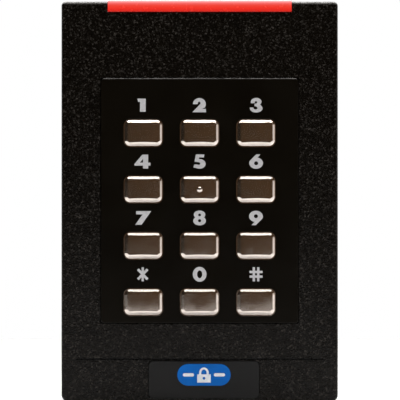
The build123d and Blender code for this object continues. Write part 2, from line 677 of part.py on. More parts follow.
def make_terminal_strip(side):
    """A seven-way screw terminal strip on the rear of the main board, wire entries facing the middle."""
    with BuildPart() as strip:
        with BuildSketch(level(TERMINAL_REAR)):
            with Locations((side * TERMINAL_X, MID_Z)):
                Rectangle(TERMINAL_WIDTH, TERMINAL_LENGTH)
        extrude(amount=MAIN_BOARD_REAR - TERMINAL_REAR)
        chamfer(strip.faces().sort_by(Axis.Y)[-1].edges().filter_by(Axis.Z), length=0.6)
        with BuildSketch(level(TERMINAL_REAR)):
            with Locations(terminal_screw_places(side)):
                Circle(1.45)
        extrude(amount=SCREW_WELL, mode=Mode.SUBTRACT)
        entry_face = Plane(
            origin=(side * (TERMINAL_X - TERMINAL_WIDTH / 2), 0, MID_Z), x_dir=(0, 0, 1), z_dir=(side, 0, 0)
        )
        with BuildSketch(entry_face) as entries:
            drop = -side * (-TERMINAL_REAR - 1.9)
            with Locations(*[(z - MID_Z, drop) for _, z in terminal_screw_places(side)]):
                Rectangle(2.3, 1.9)
        extrude(amount=3.2, mode=Mode.SUBTRACT)
    return strip


save(make_terminal_strip(-1), "terminal_strip_left")
save(make_terminal_strip(1), "terminal_strip_right")

with BuildPart() as terminal_screws:
    screw_places = terminal_screw_places(-1) + terminal_screw_places(1)
    with BuildSketch(level(TERMINAL_REAR + 0.5)):
        with Locations(screw_places):
            Circle(1.35)
    extrude(amount=SCREW_WELL - 0.5)
    with BuildSketch(level(TERMINAL_REAR + 0.5)):
        with Locations(screw_places):
            Rectangle(2.8, 0.45)
    extrude(amount=0.6, mode=Mode.SUBTRACT)
save(terminal_screws, "terminal_screws")

with BuildPart() as tamper_sensor:
    with BuildSketch(level(MAIN_BOARD_REAR - 2.6)):
        with Locations(TAMPER_PLACE):
            RectangleRounded(3.2, 2.4, 0.2)
    extrude(amount=2.6)
    with BuildSketch(level(MAIN_BOARD_REAR - 2.6)):
        with Locations((TAMPER_PLACE[0] - 0.75, TAMPER_PLACE[1]), (TAMPER_PLACE[0] + 0.75, TAMPER_PLACE[1])):
            Circle(0.5)
    extrude(amount=0.4, mode=Mode.SUBTRACT)
save(tamper_sensor, "tamper_sensor")

# ---------------------------------------------------------------- rear cover

COVER_WIDTH = RECESS_WIDTH - 0.6
COVER_HEIGHT = RECESS_HEIGHT - 0.6
TAMPER_WINDOW_R = 2.2
with BuildPart() as rear_cover:
    with BuildSketch(level(COVER_REAR)):
        with Locations((0, MID_Z)):
            RectangleRounded(COVER_WIDTH, COVER_HEIGHT, 1.0)
        with Locations((-TERMINAL_X, MID_Z), (TERMINAL_X, MID_Z)):
            Rectangle(TERMINAL_WIDTH + 0.5, TERMINAL_LENGTH + 0.5, mode=Mode.SUBTRACT)
        with Locations(TAMPER_PLACE):
            Circle(TAMPER_WINDOW_R, mode=Mode.SUBTRACT)
        with Locations(COVER_SCREWS):
            Circle(COVER_THREAD_R + 0.2, mode=Mode.SUBTRACT)
    extrude(amount=COVER_FRONT - COVER_REAR)
    with BuildSketch(level(COVER_REAR)):
        with Locations(COVER_SCREWS):
            Circle(COVER_HEAD_R + 0.2)
    extrude(amount=COVER_SCREW_SEAT - COVER_REAR, mode=Mode.SUBTRACT)
    # two half-round lugs that hang on the plate's hook bars
    for lug_x in (-HOOK_X, HOOK_X):
        with BuildSketch(across(lug_x)):
            with Locations((-PIVOT_HEIGHT, PIVOT_Z)):
                Circle(LUG_R)
                Circle(BAR_R + LUG_PLAY, mode=Mode.SUBTRACT)
                Rectangle(3 * LUG_R, 2 * LUG_R, align=(Align.CENTER, Align.MAX), mode=Mode.SUBTRACT)
            with Locations((-COVER_REAR - 0.2, PIVOT_Z + LUG_R)):
                Rectangle(COVER_REAR + 0.2 - PIVOT_HEIGHT, 1.2, align=(Align.MIN, Align.MAX))
        extrude(amount=LUG_WIDTH / 2, both=True)
save(rear_cover, "rear_cover")

with BuildPart() as rear_gasket:
    with BuildSketch(level(COVER_FRONT)):
        with Locations((0, MID_Z)):
            RectangleRounded(COVER_WIDTH, COVER_HEIGHT, 1.0)
            RectangleRounded(CAVITY_WIDTH + 0.4, CAVITY_HEIGHT + 0.4, 0.9, mode=Mode.SUBTRACT)
    extrude(amount=COVER_LEDGE - COVER_FRONT)
save(rear_gasket, "rear_gasket")

# ---------------------------------------------------------------- mounting plate

PLATE_WIDTH = RECESS_WIDTH - 1.6
PLATE_LOW = RECESS_LOW + 0.4
PLATE_HIGH = 52.2
TAB_HIGH = COVER_REAR - 0.1
TAB_WIDTH = 14.0
TAB_DEPTH = 6.0
HOOK_LENGTH = PIVOT_Z - PLATE_HIGH + HOOK_THICKNESS
with BuildPart() as mounting_plate:
    with BuildSketch(level(0)) as plate_outline:
        with Locations((0, (PLATE_LOW + PLATE_HIGH) / 2)):
            RectangleRounded(PLATE_WIDTH, PLATE_HIGH - PLATE_LOW, 2.0)
        RectangleRounded(WIRING_WIDTH, WIRING_HEIGHT, 4.0, mode=Mode.SUBTRACT)
        with Locations((0, -WALL_BOX_PITCH / 2), (0, WALL_BOX_PITCH / 2)):
            Circle(WALL_SCREW_R, mode=Mode.SUBTRACT)
        with Locations((-ROUND_BOX_PITCH / 2, 0), (ROUND_BOX_PITCH / 2, 0)):
            Circle(WALL_SCREW_R, mode=Mode.SUBTRACT)
    extrude(amount=PLATE_FRONT)
    # stiffening rim round the wiring opening
    with BuildSketch(level(PLATE_FRONT)):
        RectangleRounded(WIRING_WIDTH + 2 * WIRING_RIM, WIRING_HEIGHT + 2 * WIRING_RIM, 5.5)
        RectangleRounded(WIRING_WIDTH, WIRING_HEIGHT, 4.0, mode=Mode.SUBTRACT)
    extrude(amount=PLATE_RIM - PLATE_FRONT)
    # lock tab at the bottom, bored upwards for the threaded insert
    with BuildSketch(level(0)):
        with Locations((0, PLATE_LOW)):
            Rectangle(TAB_WIDTH, TAB_DEPTH, align=(Align.CENTER, Align.MIN))
    extrude(amount=TAB_HIGH)
    with BuildSketch(Plane.XY.offset(PLATE_LOW)):
        with Locations((0, -LOCK_HEIGHT)):
            Circle(LOCK_INSERT_R)
    extrude(amount=TAB_DEPTH, mode=Mode.SUBTRACT)
    # two hooks at the top, each an arm with a round bar across its end
    for hook_x in (-HOOK_X, HOOK_X):
        with BuildSketch(across(hook_x)):
            with Locations((0, PLATE_HIGH)):
                Rectangle(PIVOT_HEIGHT + HOOK_THICKNESS / 2, HOOK_THICKNESS, align=(Align.MAX, Align.MAX))
            with Locations((-PIVOT_HEIGHT, PIVOT_Z)):
                Rectangle(HOOK_THICKNESS, HOOK_LENGTH, align=(Align.CENTER, Align.MAX))
        extrude(amount=HOOK_WIDTH / 2, both=True)
        with BuildSketch(across(hook_x)):
            with Locations((-PIVOT_HEIGHT, PIVOT_Z)):
                Circle(BAR_R)
        extrude(amount=BAR_LENGTH / 2, both=True)
save(mounting_plate, "mounting_plate")

with BuildPart() as lock_insert:
    with BuildSketch(Plane.XY.offset(PLATE_LOW)):
        with Locations((0, -LOCK_HEIGHT)):
            Circle(LOCK_INSERT_R)
            Circle(LOCK_SCREW_R + 0.03, mode=Mode.SUBTRACT)
    extrude(amount=LOCK_INSERT_LENGTH)
save(lock_insert, "lock_insert")

HEAD_SEAT = -HEIGHT / 2 + LOCK_POCKET_DEPTH - HEAD_PLAY
HEAD_END = -HEIGHT / 2 + 0.1
with BuildPart() as lock_screw:
    with BuildSketch(Plane.XY.offset(HEAD_END)):
        with Locations((0, -LOCK_HEIGHT)):
            Circle(LOCK_HEAD_R)
    extrude(amount=HEAD_SEAT - HEAD_END)
    fillet(lock_screw.faces().sort_by(Axis.Z)[0].edges(), radius=0.5)
    with BuildSketch(Plane.XY.offset(HEAD_SEAT)):
        with Locations((0, -LOCK_HEIGHT)):
            Circle(LOCK_SCREW_R)
    extrude(amount=PLATE_LOW + LOCK_INSERT_LENGTH + 0.4 - HEAD_SEAT)
    with BuildSketch(Plane.XY.offset(HEAD_END)):
        with Locations((0, -LOCK_HEIGHT)):
            RegularPolygon(1.15, 6)
    extrude(amount=1.1, mode=Mode.SUBTRACT)
save(lock_screw, "lock_screw")
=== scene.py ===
import json
from math import cos, radians, sin

import bpy
from mathutils import Matrix, Vector


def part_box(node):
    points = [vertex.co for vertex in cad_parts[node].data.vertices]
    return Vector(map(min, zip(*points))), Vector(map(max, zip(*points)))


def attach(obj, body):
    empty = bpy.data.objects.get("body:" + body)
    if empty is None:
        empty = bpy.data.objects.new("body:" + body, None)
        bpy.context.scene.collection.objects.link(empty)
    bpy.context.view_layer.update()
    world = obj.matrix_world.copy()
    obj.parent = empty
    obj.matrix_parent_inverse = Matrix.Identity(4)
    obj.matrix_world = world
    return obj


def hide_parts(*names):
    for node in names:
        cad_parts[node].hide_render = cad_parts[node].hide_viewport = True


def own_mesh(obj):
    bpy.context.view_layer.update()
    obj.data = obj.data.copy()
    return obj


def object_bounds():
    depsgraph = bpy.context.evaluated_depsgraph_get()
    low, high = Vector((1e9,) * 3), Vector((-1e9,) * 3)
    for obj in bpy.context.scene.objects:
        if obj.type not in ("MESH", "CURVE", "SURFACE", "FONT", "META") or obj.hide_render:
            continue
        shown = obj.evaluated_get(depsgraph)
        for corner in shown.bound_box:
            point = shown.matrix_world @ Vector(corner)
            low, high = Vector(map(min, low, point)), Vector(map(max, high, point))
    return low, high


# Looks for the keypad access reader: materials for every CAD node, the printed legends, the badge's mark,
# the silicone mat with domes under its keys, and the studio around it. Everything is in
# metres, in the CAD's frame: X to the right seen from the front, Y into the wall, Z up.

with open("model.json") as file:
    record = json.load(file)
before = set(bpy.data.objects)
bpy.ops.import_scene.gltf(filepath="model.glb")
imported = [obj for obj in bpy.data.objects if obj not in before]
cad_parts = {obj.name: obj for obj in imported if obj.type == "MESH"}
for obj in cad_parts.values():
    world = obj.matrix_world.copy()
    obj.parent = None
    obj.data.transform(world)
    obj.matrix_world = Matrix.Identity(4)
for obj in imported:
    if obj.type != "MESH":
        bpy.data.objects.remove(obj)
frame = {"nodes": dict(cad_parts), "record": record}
cad_low, cad_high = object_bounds()

MM = 0.001
KEYS = ("1", "2", "3", "4", "5", "6", "7", "8", "9", "star", "0", "hash")


def middle(node):
    """The centre of a CAD node's box."""
    low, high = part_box(node)
    return (Vector(low) + Vector(high)) / 2


# ---------------------------------------------------------------- materials


class Graph:
    """A node material under construction: short calls that add a node and return the socket it gives."""

    def __init__(self, name):
        self.material = bpy.data.materials.new(name)
        self.material.use_nodes = True
        self.tree = self.material.node_tree
        self.shader = self.tree.nodes["Principled BSDF"]
        self.place = self.tree.nodes.new("ShaderNodeTexCoord").outputs["Object"]

    def node(self, kind, inputs, output=0, **settings):
        node = self.tree.nodes.new(kind)
        for key, value in settings.items():
            setattr(node, key, value)
        for key, value in inputs.items():
            if isinstance(value, bpy.types.NodeSocket):
                self.tree.links.new(value, node.inputs[key])
            else:
                node.inputs[key].default_value = value
        return node.outputs[output]

    def stretched(self, scale):
        """Object coordinates scaled by (x, y, z)."""
        return self.node("ShaderNodeMapping", {"Vector": self.place, "Scale": scale})

    def noise(self, scale, detail=3.0, rough=0.5, place=None):
        inputs = {"Vector": place or self.place, "Scale": scale, "Detail": detail, "Roughness": rough}
        return self.node("ShaderNodeTexNoise", inputs)

    def cells(self, scale, output="Distance"):
        return self.node("ShaderNodeTexVoronoi", {"Vector": self.place, "Scale": scale}, output=output)

    def fit(self, value, low, high, to_low=0.0, to_high=1.0):
        """The value carried from low..high to to_low..to_high, clamped."""
        inputs = {0: value, 1: low, 2: high, 3: to_low, 4: to_high}
        return self.node("ShaderNodeMapRange", inputs)

    def math(self, operation, a, b=0.0):
        return self.node("ShaderNodeMath", {0: a, 1: b}, operation=operation)

    def axis(self, name):
        """One coordinate of the surface point, in metres."""
        return self.node("ShaderNodeSeparateXYZ", {0: self.place}, output=name)

    def blend(self, factor, a, b):
        """Colour a where factor is 0 and colour b where it is 1."""
        inputs = {0: factor, 6: self.colour(a), 7: self.colour(b)}
        return self.node("ShaderNodeMix", inputs, output=2, data_type="RGBA")

    def colour(self, value):
        return value if isinstance(value, bpy.types.NodeSocket) else (*value, 1.0)

    def bump(self, height, depth, strength=1.0, below=None):
        inputs = {"Height": height, "Distance": depth, "Strength": strength}
        if below:
            inputs["Normal"] = below
        return self.node("ShaderNodeBump", inputs)

    def set(self, **sockets):
        """Sets or links the shader's sockets; underscores in a name stand for spaces."""
        for key, value in sockets.items():
            socket = self.shader.inputs[key.replace("_", " ")]
            if isinstance(value, bpy.types.NodeSocket):
                self.tree.links.new(value, socket)
            elif isinstance(value, tuple):
                socket.default_value = (*value, 1.0)
            else:
                socket.default_value = value


def shade(rgb, factor):
    return tuple(channel * factor for channel in rgb)


def textured_plastic():
    """Black housing plastic: a fine grain with painted glints, worn front edges at its sides, a painted
    highlight along its top edge and painted shade in its grooves.
    """
    g = Graph("housing_plastic")
    base = (0.0016, 0.0011, 0.0005)
    # painted glints: a pale colour painted on a few grain facets in place of highlights
    painted_glint = (0.036, 0.032, 0.028)
    # painted highlight: a pale colour along the top front edge, in patches
    painted_top_highlight = (0.120, 0.115, 0.109)
    facet_scale = 2600.0  # facets per metre
    tone = g.node("ShaderNodeSeparateColor", {0: g.cells(facet_scale, output="Color")})
    # painted highlight mask: only the brightest few grain facets get the pale glint colour
    painted_glint_mask = g.math("POWER", tone, 8.0)
    mottle = g.noise(420.0, 4.0)
    g.set(Metallic=0.0, IOR=1.5, Specular_IOR_Level=0.17)
    low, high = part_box("housing")
    # distances in from the side edges, down from the top edge and back from the front face
    side = g.math("SUBTRACT", high[0] - 0.2 * MM, g.math("ABSOLUTE", g.axis("X")))
    top = g.math("SUBTRACT", high[2] - 0.2 * MM, g.axis("Z"))
    front = g.math("SUBTRACT", g.axis("Y"), low[1])
    side_edge = g.fit(g.math("MAXIMUM", side, front), 0.2 * MM, 0.8 * MM, 1.0, 0.0)
    top_edge = g.fit(g.math("MAXIMUM", top, front), 0.5 * MM, 0.95 * MM, 1.0, 0.0)
    inland = g.fit(g.math("MINIMUM", side, top), 1.0 * MM, 1.3 * MM)
    # painted shade: the base colour darkened inside the grooves and pockets set back from the front face
    painted_recess_shade = g.math("MULTIPLY", g.fit(front, 0.05 * MM, 0.20 * MM), inland)
    patches = g.noise(900.0, 5.0)
    side_wear = g.math("MULTIPLY", side_edge, g.fit(patches, 0.42, 0.62))
    # painted highlight along the top front edge, broken into patches
    painted_top_highlight_mask = g.math("MULTIPLY", top_edge, g.fit(patches, 0.30, 0.60, 0.5, 1.0))
    colour = g.blend(g.fit(mottle, 0.3, 0.7), shade(base, 0.8), shade(base, 1.25))
    colour = g.blend(painted_glint_mask, colour, painted_glint)
    colour = g.blend(side_wear, colour, shade(base, 5.0))
    colour = g.blend(painted_top_highlight_mask, colour, painted_top_highlight)
    g.set(Base_Color=g.blend(painted_recess_shade, colour, shade(base, 0.4)))
    g.set(Roughness=g.fit(tone, 0.0, 1.0, 0.31, 0.23))
    coarse = g.bump(mottle, 0.03 * MM, 0.5)
    g.set(Normal=g.bump(g.cells(facet_scale), 0.05 * MM, 1.0, below=coarse))
    return g.material


def satin_plastic(name, base, rough, depth=0.006, marks=0.08, gloss=0.5):
    """Smooth moulded plastic: faint orange peel, and handling marks that change its gloss."""
    g = Graph(name)
    g.set(Specular_IOR_Level=gloss)
    marks_mask = g.fit(g.noise(130.0, 6.0, 0.62), 0.42, 0.66)
    g.set(Base_Color=g.blend(g.fit(g.noise(60.0, 3.0), 0.3, 0.7), shade(base, 0.88), shade(base, 1.14)))
    g.set(Roughness=g.fit(marks_mask, 0.0, 1.0, rough, rough + marks))
    peel = g.bump(g.noise(900.0, 2.0), depth * MM, 0.6)
    g.set(Normal=g.bump(g.noise(5200.0, 2.0), 0.002 * MM, 0.5, below=peel))
    return g.material


def faceplate_plastic():
    """Smooth dark faceplate: faint orange peel and handling marks, with a painted highlight in patches along
    its top edge.
    """
    g = Graph("faceplate_plastic")
    base = (0.0030, 0.0022, 0.0011)
    # painted highlight: a pale colour along the top edge, in patches
    painted_edge_highlight = (0.11, 0.105, 0.10)
    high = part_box("faceplate")[1]
    edge = g.fit(g.math("SUBTRACT", high[2], g.axis("Z")), 0.15 * MM, 0.40 * MM, 1.0, 0.0)
    painted_edge_highlight_mask = g.math("MULTIPLY", edge, g.fit(g.noise(500.0, 4.0), 0.32, 0.62, 0.35, 1.0))
    marks = g.fit(g.noise(130.0, 6.0, 0.62), 0.42, 0.66)
    colour = g.blend(g.fit(g.noise(60.0, 3.0), 0.3, 0.7), shade(base, 0.85), shade(base, 1.2))
    g.set(Specular_IOR_Level=0.09)
    g.set(Base_Color=g.blend(painted_edge_highlight_mask, colour, painted_edge_highlight))
    g.set(Roughness=g.fit(marks, 0.0, 1.0, 0.28, 0.36))
    peel = g.bump(g.noise(900.0, 2.0), 0.006 * MM, 0.6)
    g.set(Normal=g.bump(g.noise(5200.0, 2.0), 0.002 * MM, 0.5, below=peel))
    return g.material


def grained_plastic(name, base, rough=0.5, scale=1500.0, depth=0.03, gloss=0.5):
    """Plain moulded plastic with an even matt grain and a few scuffs."""
    g = Graph(name)
    g.set(Specular_IOR_Level=gloss)
    colour = g.blend(g.fit(g.noise(240.0, 4.0), 0.3, 0.7), shade(base, 0.7), shade(base, 1.3))
    scuffs = g.fit(g.noise(70.0, 8.0, 0.7), 0.54, 0.72)
    g.set(Base_Color=g.blend(scuffs, colour, shade(base, 1.9)))
    g.set(Roughness=g.fit(g.noise(scale * 0.6, 3.0), 0.3, 0.7, rough - 0.06, rough + 0.08))
    g.set(Normal=g.bump(g.math("ADD", g.cells(scale), g.noise(scale * 1.7, 2.0)), depth * MM, 0.7))
    return g.material


def key_metal():
    """Polished metal keys: fine polishing lines, finger smudges and a few pits."""
    g = Graph("key_metal")
    base = (0.75, 0.67, 0.61)
    smudge = g.fit(g.noise(260.0, 5.0, 0.6), 0.38, 0.68)
    lines = g.noise(60.0, 3.0, 0.6, place=g.stretched((8.0, 60.0, 160.0)))
    g.set(Metallic=1.0)
    g.set(Base_Color=g.blend(smudge, base, shade(base, 0.88)))
    g.set(Roughness=g.fit(g.math("ADD", smudge, g.math("MULTIPLY", lines, 0.4)), 0.0, 1.4, 0.10, 0.21))
    fine = g.bump(lines, 0.0025 * MM, 0.5)
    pits = g.fit(g.cells(900.0), 0.0, 0.10)
    g.set(Normal=g.bump(pits, 0.004 * MM, 0.35, below=fine))
    return g.material


LENS_FRONT_HEIGHT = 3.3 * MM  # how far the light bar comes down the front


def lit_lens():
    """The red light bar, lit from behind: its glow is palest along its front top edge, partly a painted
    reflection of the light above, and deep red at its foot.
    """
    g = Graph("lens_red")
    low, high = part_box("light_bar_lens")
    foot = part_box("housing")[1][2] - LENS_FRONT_HEIGHT
    # behind the front edge the top of the bar is plain red, as if it were lower down
    set_back = g.fit(g.axis("Y"), low[1] + 0.5 * MM, low[1] + 2.0 * MM, 0.0, 0.52)
    height = g.math("SUBTRACT", g.fit(g.axis("Z"), foot, high[2]), set_back)
    ramp = g.tree.nodes.new("ShaderNodeValToRGB")
    # the palest stops at the top are partly a painted reflection of the light above
    stops = (
        (0.00, (0.28, 0.010, 0.006)),
        (0.09, (0.54, 0.006, 0.002)),
        (0.25, (0.68, 0.018, 0.008)),
        (0.48, (0.71, 0.050, 0.030)),
        (0.62, (0.74, 0.120, 0.110)),
        (0.72, (0.76, 0.250, 0.250)),
        (0.82, (0.82, 0.500, 0.500)),
        (1.00, (0.85, 0.620, 0.620)),
    )
    while len(ramp.color_ramp.elements) < len(stops):
        ramp.color_ramp.elements.new(0.5)
    for element, (position, rgb) in zip(ramp.color_ramp.elements, stops):
        element.position = position
        element.color = (*rgb, 1.0)
    g.tree.links.new(height, ramp.inputs[0])
    cloud = g.fit(g.noise(140.0, 3.0, place=g.stretched((0.35, 1.0, 1.0))), 0.3, 0.7)
    glow = g.blend(g.fit(cloud, 0.0, 1.0, 0.0, 0.06), ramp.outputs[0], (0.55, 0.02, 0.01))
    g.set(Base_Color=g.blend(cloud, (0.32, 0.011, 0.006), (0.35, 0.013, 0.008)))
    g.set(Emission_Color=glow, Emission_Strength=0.83)
    g.set(Roughness=g.fit(g.noise(700.0, 3.0), 0.3, 0.7, 0.24, 0.28), IOR=1.49)
    g.set(Normal=g.bump(g.noise(420.0, 2.0), 0.0006 * MM, 0.4))
    return g.material


def clear_guide():
    g = Graph("guide_clear")
    g.set(Base_Color=g.blend(g.fit(g.noise(200.0), 0.3, 0.7), (0.86, 0.91, 0.92), (0.93, 0.96, 0.97)))
    g.set(Roughness=g.fit(g.noise(900.0, 3.0), 0.3, 0.7, 0.10, 0.22), Transmission_Weight=0.9, IOR=1.49)
    g.set(Normal=g.bump(g.noise(1200.0, 2.0), 0.01 * MM, 0.5))
    return g.material


def circuit_board():
    """Green solder mask over copper tracks, which show as a faint relief of lighter lines."""
    g = Graph("board_green")
    mask = (0.010, 0.080, 0.030)
    tracks = g.node(
        "ShaderNodeTexBrick",
        {"Vector": g.place, "Scale": 420.0, "Mortar Size": 0.09, "Brick Width": 1.8},
        output="Fac",
    )
    worn = g.fit(g.noise(300.0, 4.0), 0.3, 0.7)
    green = g.blend(worn, mask, shade(mask, 1.4))
    g.set(Base_Color=g.blend(g.math("MULTIPLY", tracks, 0.7), green, (0.03, 0.17, 0.06)))
    g.set(Roughness=g.fit(g.noise(1200.0), 0.3, 0.7, 0.26, 0.38))
    weave = g.bump(g.noise(2500.0, 2.0), 0.004 * MM, 0.5)
    g.set(Normal=g.bump(tracks, 0.02 * MM, 0.6, below=weave))
    return g.material


def metal(name, base, rough, brush=(60.0, 60.0, 60.0), depth=0.004):
    """Worked metal with directional tool marks and uneven tarnish."""
    g = Graph(name)
    tarnish = g.fit(g.noise(400.0, 5.0, 0.6), 0.35, 0.7)
    marks = g.noise(60.0, 4.0, 0.6, place=g.stretched(brush))
    g.set(Metallic=1.0)
    g.set(Base_Color=g.blend(tarnish, base, shade(base, 0.72)))
    g.set(Roughness=g.fit(g.math("ADD", tarnish, marks), 0.3, 1.5, rough, rough + 0.2))
    g.set(Normal=g.bump(marks, depth * MM, 0.7))
    return g.material


def rubber(name, base, rough=0.7, scale=1800.0):
    """Soft rubber or silicone with a bloom of dust."""
    g = Graph(name)
    bloom = g.fit(g.noise(500.0, 6.0, 0.65), 0.4, 0.75)
    g.set(Base_Color=g.blend(bloom, base, tuple(0.8 * c + 0.012 for c in base)))
    g.set(Roughness=g.fit(bloom, 0.0, 1.0, rough, rough + 0.12))
    g.set(Normal=g.bump(g.noise(scale, 4.0), 0.015 * MM, 0.6))
    return g.material


def coil_copper():
    """Enamelled copper wire wound side by side: fine ridges that run round the coil."""
    g = Graph("coil_copper")
    turns = g.node(
        "ShaderNodeTexWave",
        {"Vector": g.stretched((0.0, 1.0, 0.0)), "Scale": 1600.0, "Distortion": 0.6, "Detail": 1.0},
        output="Fac",
        bands_direction="Y",
    )
    g.set(Metallic=0.85, Coat_Weight=0.6)
    g.set(Base_Color=g.blend(turns, (0.42, 0.13, 0.05), (0.72, 0.30, 0.13)))
    g.set(Roughness=g.fit(g.noise(900.0), 0.3, 0.7, 0.25, 0.4))
    g.set(Normal=g.bump(turns, 0.05 * MM, 0.8))
    return g.material


def printed_ink(name, base):
    """Screen-printed ink: a slightly uneven film over the smooth plastic."""
    g = Graph(name)
    g.set(Base_Color=g.blend(g.fit(g.noise(1400.0, 4.0), 0.35, 0.65), shade(base, 0.93), shade(base, 1.04)))
    g.set(Roughness=g.fit(g.noise(2400.0, 3.0), 0.3, 0.7, 0.42, 0.58))
    g.set(Normal=g.bump(g.noise(4200.0, 3.0), 0.004 * MM, 0.5))
    return g.material


MATERIALS = {
    "housing_plastic": textured_plastic(),
    "plate_plastic": grained_plastic("plate_plastic", (0.010, 0.010, 0.010), 0.42, 1200.0, 0.09, 0.25),
    "faceplate_plastic": faceplate_plastic(),
    "key_metal": key_metal(),
    "lens_red": lit_lens(),
    "guide_clear": clear_guide(),
    "led_white": satin_plastic("led_white", (0.80, 0.78, 0.62), 0.30),
    "board_green": circuit_board(),
    "chip_black": grained_plastic("chip_black", (0.014, 0.014, 0.015), 0.55, 2600.0, 0.012),
    "tinned_metal": metal("tinned_metal", (0.36, 0.36, 0.37), 0.26, (120.0, 20.0, 20.0)),
    "can_aluminium": metal("can_aluminium", (0.74, 0.75, 0.76), 0.26, (20.0, 120.0, 20.0)),
    "contact_gold": metal("contact_gold", (0.86, 0.62, 0.26), 0.18),
    "insert_brass": metal("insert_brass", (0.72, 0.50, 0.22), 0.24, (120.0, 120.0, 20.0)),
    "screw_steel": metal("screw_steel", (0.28, 0.28, 0.29), 0.28),
    "lock_screw_steel": metal("lock_screw_steel", (0.30, 0.295, 0.29), 0.26),
    "mat_silicone": rubber("mat_silicone", (0.30, 0.31, 0.32), 0.5),
    "pill_carbon": rubber("pill_carbon", (0.010, 0.010, 0.010), 0.75),
    "gasket_rubber": rubber("gasket_rubber", (0.018, 0.018, 0.018), 0.8),
    "adhesive_foam": rubber("adhesive_foam", (0.06, 0.06, 0.06), 0.85, 3000.0),
    "coil_copper": coil_copper(),
    "ferrite_grey": grained_plastic("ferrite_grey", (0.050, 0.050, 0.054), 0.42, 1900.0, 0.02),
    "badge_plastic": satin_plastic("badge_plastic", (0.0085, 0.0085, 0.0085), 0.36, gloss=0.22),
    "emblem_blue": satin_plastic("emblem_blue", (0.0010, 0.115, 0.46), 0.36, gloss=0.15),
    "terminal_green": grained_plastic("terminal_green", (0.022, 0.23, 0.07), 0.42, 1400.0, 0.02),
}
for row in frame["record"]["subparts"]:
    node = frame["nodes"][row["node"]]
    node.data.materials.clear()
    node.data.materials.append(MATERIALS[row["material_slot"]])

LEGEND_INK = printed_ink("legend_ink", (0.52, 0.52, 0.535))
MARK_INK = printed_ink("mark_ink", (0.80, 0.82, 0.85))


# ---------------------------------------------------------------- flat shapes: legends and the badge's mark


def arc(x, z, radius_x, radius_z, start, end):
    """Points along an elliptical arc, in millimetres, from one angle to another in degrees."""
    steps = max(2, round(abs(end - start) / 7.5))
    angles = [radians(start + (end - start) * i / steps) for i in range(steps + 1)]
    return [(x + radius_x * cos(a), z + radius_z * sin(a)) for a in angles]


def ellipse(x, z, radius_x, radius_z):
    return arc(x, z, radius_x, radius_z, 0, 360)[:-1]


def turned(outline):
    """The outline turned half a turn about its origin."""
    return [(-x, -z) for x, z in outline]


def star(arms):
    """Outline of straight arms that meet at the origin; each arm is (degrees, length, width)."""
    outline = []
    for i, (angle, length, width) in enumerate(arms):
        next_angle, _, next_width = arms[(i + 1) % len(arms)]
        along = Vector((cos(radians(angle)), sin(radians(angle))))
        next_along = Vector((cos(radians(next_angle)), sin(radians(next_angle))))
        left = Vector((-along.y, along.x))
        outline += [along * length - left * width / 2, along * length + left * width / 2]
        inner = along * next_width / 2 + next_along * width / 2
        outline.append(inner / sin(radians((next_angle - angle) % 360)))
    return [tuple(point) for point in outline]


def hash_sign(reach_x, reach_z, post, rung, width):
    """Outlines of a hash: two posts at x = +-post and two rungs at z = +-rung, and the hole between them."""
    h = width / 2
    half = [
        (-post - h, rung + h), (-post - h, reach_z), (-post + h, reach_z), (-post + h, rung + h),
        (post - h, rung + h), (post - h, reach_z), (post + h, reach_z), (post + h, rung + h),
        (reach_x, rung + h), (reach_x, rung - h), (post + h, rung - h),
        (post + h, -rung + h), (reach_x, -rung + h), (reach_x, -rung - h),
    ]
    hole = [(-post + h, rung - h), (post - h, rung - h), (post - h, -rung + h), (-post + h, -rung + h)]
    return [half + turned(half), hole]


